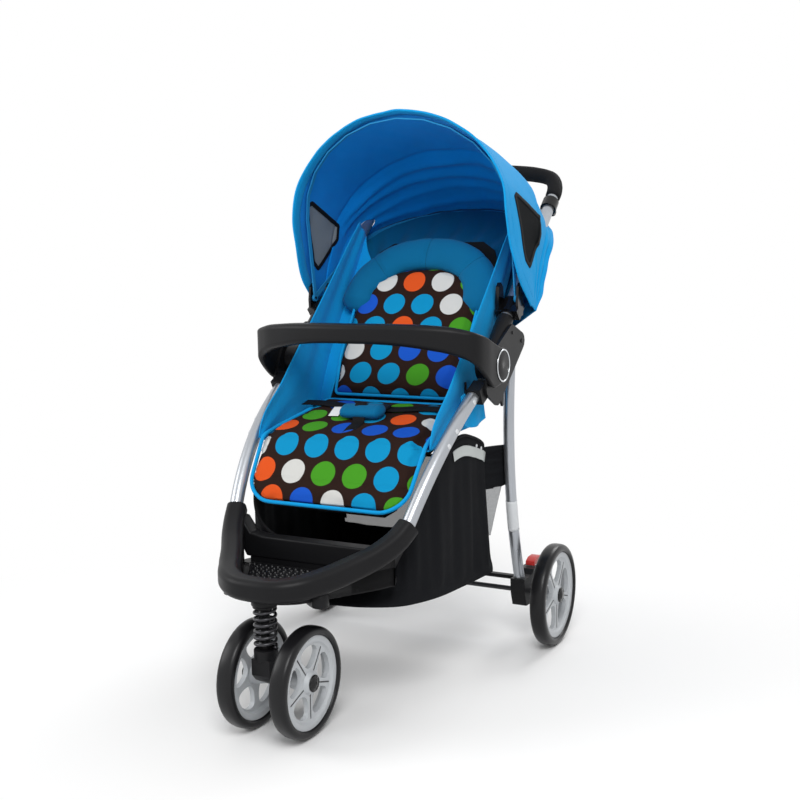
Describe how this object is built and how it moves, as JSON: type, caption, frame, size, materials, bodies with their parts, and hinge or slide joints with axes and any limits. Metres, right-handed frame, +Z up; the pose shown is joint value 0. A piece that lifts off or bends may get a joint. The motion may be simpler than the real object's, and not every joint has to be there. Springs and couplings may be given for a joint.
{
  "type": "stroller",
  "caption": "Folding stroller with a dotted padded seat, a fabric hood, a bumper bar, a moulded footrest, sprung swivelling front wheels and a basket.",
  "frame": {"origin": "on the floor under the middle of the overall bounding box", "axes": "+Z up, -Y towards the front wheels, +X to the right side as seen from the front"},
  "size_m": [0.5872, 0.9498, 1.08],
  "materials": {
    "black_plastic": "satin moulded",
    "gloss_black": "gloss",
    "silver_tube": "satin painted",
    "chrome_ring": "polished",
    "dark_steel": "dark",
    "tyre": "smooth, glossy",
    "grey_rim": "satin",
    "foam": "foam grip",
    "blue_fabric": "woven",
    "dotted_fabric": "woven, with round dots",
    "black_webbing": "webbing",
    "black_fabric": "woven",
    "red_plastic": "gloss"
  },
  "bodies": {
    "chassis": {"front_tube_left": "silver_tube", "front_tube_right": "silver_tube", "footrest": "black_plastic", "footrest_mat": "gloss_black", "hinge_cheek_left": "black_plastic", "hinge_cheek_right": "black_plastic", "seat_base": "black_webbing", "seat_pad": "dotted_fabric", "side_wing_left": "blue_fabric", "side_wing_right": "blue_fabric", "waist_strap_left": "black_webbing", "waist_strap_right": "black_webbing", "crotch_pad": "blue_fabric", "basket": "black_fabric", "basket_gusset_left": "black_fabric", "basket_gusset_right": "black_fabric"},
    "bumper": {"bumper_bar": "black_plastic", "hinge_ring_left": "chrome_ring", "hinge_ring_right": "chrome_ring"},
    "push_frame": {"push_tube": "silver_tube", "foam_grip": "foam", "hinge_sleeve_left": "black_plastic", "hinge_sleeve_right": "black_plastic", "canopy_clamp_left": "black_plastic", "canopy_clamp_right": "black_plastic", "rear_bow": "black_plastic", "hood_shell": "blue_fabric", "rear_curtain": "blue_fabric"},
    "collar_right": {"release_collar_right": "gloss_black"},
    "collar_left": {"release_collar_left": "gloss_black"},
    "rear_frame": {"rear_leg_left": "silver_tube", "rear_leg_right": "silver_tube", "rear_bracket_left": "black_plastic", "rear_bracket_right": "black_plastic", "rear_axle": "dark_steel", "rear_cross_bar": "dark_steel"},
    "pedal_right": {"brake_pedal_right": "red_plastic"},
    "pedal_left": {"brake_pedal_left": "red_plastic"},
    "rear_wheel_right": {"rear_tyre_right": "tyre", "rear_rim_right": "grey_rim", "rear_hub_cap_right": "gloss_black"},
    "rear_wheel_left": {"rear_tyre_left": "tyre", "rear_rim_left": "grey_rim", "rear_hub_cap_left": "gloss_black"},
    "caster": {"caster_stem": "dark_steel", "front_spring": "gloss_black"},
    "fork": {"front_fork": "black_plastic", "front_axle": "dark_steel"},
    "front_wheel_right": {"front_tyre_right": "tyre", "front_rim_right": "grey_rim", "front_hub_cap_right": "gloss_black"},
    "front_wheel_left": {"front_tyre_left": "tyre", "front_rim_left": "grey_rim", "front_hub_cap_left": "gloss_black"},
    "backrest": {"back_board": "black_webbing", "back_pad": "dotted_fabric", "head_bolster": "blue_fabric"},
    "hood_front": {"front_bow": "black_plastic"},
    "lock": {"lock_knob": "red_plastic"}
  },
  "joints": [
    {"name": "fold", "type": "hinge", "parent": "chassis", "child": "push_frame", "pos_m": [0, 0.02677, 0.595], "axis": [1, 0, 0], "range_deg": [0, 130], "deforming": ["hood_shell", "rear_curtain"]},
    {"name": "bumper_tilt", "type": "hinge", "parent": "chassis", "child": "bumper", "pos_m": [0, 0.02677, 0.595], "axis": [1, 0, 0], "range_deg": [0, 38]},
    {"name": "rear_fold", "type": "hinge", "parent": "chassis", "child": "rear_frame", "pos_m": [0, 0.14677, 0.632], "axis": [1, 0, 0], "range_deg": [-36.5, 0], "deforming": ["basket_gusset_left", "basket_gusset_right"]},
    {"name": "rear_spin_right", "type": "hinge", "parent": "rear_frame", "child": "rear_wheel_right", "pos_m": [0.2743, 0.22047, 0.104], "axis": [1, 0, 0], "continuous": true},
    {"name": "rear_spin_left", "type": "hinge", "parent": "rear_frame", "child": "rear_wheel_left", "pos_m": [-0.2743, 0.22047, 0.104], "axis": [1, 0, 0], "continuous": true},
    {"name": "pedal_right_press", "type": "hinge", "parent": "rear_frame", "child": "pedal_right", "pos_m": [0.212, 0.25477, 0.157], "axis": [1, 0, 0], "range_deg": [-10, 0]},
    {"name": "pedal_left_press", "type": "hinge", "parent": "rear_frame", "child": "pedal_left", "pos_m": [-0.212, 0.25477, 0.157], "axis": [1, 0, 0], "range_deg": [-10, 0]},
    {"name": "caster_swivel", "type": "hinge", "parent": "chassis", "child": "caster", "pos_m": [0, -0.41923, 0.158], "axis": [0, 0, 1], "continuous": true},
    {"name": "fork_travel", "type": "slide", "parent": "caster", "child": "fork", "axis": [0, 0, 1], "range_m": [0, 0.012], "stiffness_N_per_m": 5000, "springref_m": -0.012, "deforming": ["front_spring"]},
    {"name": "front_spin_right", "type": "hinge", "parent": "fork", "child": "front_wheel_right", "pos_m": [0.0521, -0.38043, 0.0945], "axis": [1, 0, 0], "continuous": true},
    {"name": "front_spin_left", "type": "hinge", "parent": "fork", "child": "front_wheel_left", "pos_m": [-0.0521, -0.38043, 0.0945], "axis": [1, 0, 0], "continuous": true},
    {"name": "recline", "type": "hinge", "parent": "chassis", "child": "backrest", "pos_m": [0, 0.04874, 0.50218], "axis": [1, 0, 0], "range_deg": [-30, 0], "deforming": ["side_wing_left", "side_wing_right", "rear_curtain"]},
    {"name": "hood_fold", "type": "hinge", "parent": "push_frame", "child": "hood_front", "pos_m": [0, 0.13177, 0.715], "axis": [-1, 0, 0], "range_deg": [0, 50], "deforming": ["hood_shell"]},
    {"name": "collar_right_slide", "type": "slide", "parent": "push_frame", "child": "collar_right", "axis": [0, 0.7431, 0.6691], "range_m": [0, 0.008], "stiffness_N_per_m": 400, "springref_m": -0.004},
    {"name": "collar_left_slide", "type": "slide", "parent": "push_frame", "child": "collar_left", "axis": [0, 0.7431, 0.6691], "range_m": [0, 0.008], "stiffness_N_per_m": 400, "springref_m": -0.004},
    {"name": "lock_press", "type": "slide", "parent": "chassis", "child": "lock", "axis": [1, 0, 0], "range_m": [0, 0.003], "stiffness_N_per_m": 400, "springref_m": -0.002}
  ],
  "couplings": [
    {"joint": "bumper_tilt", "follows": "fold", "ratio": 0.29},
    {"joint": "rear_fold", "follows": "fold", "ratio": -0.276}
  ]
}
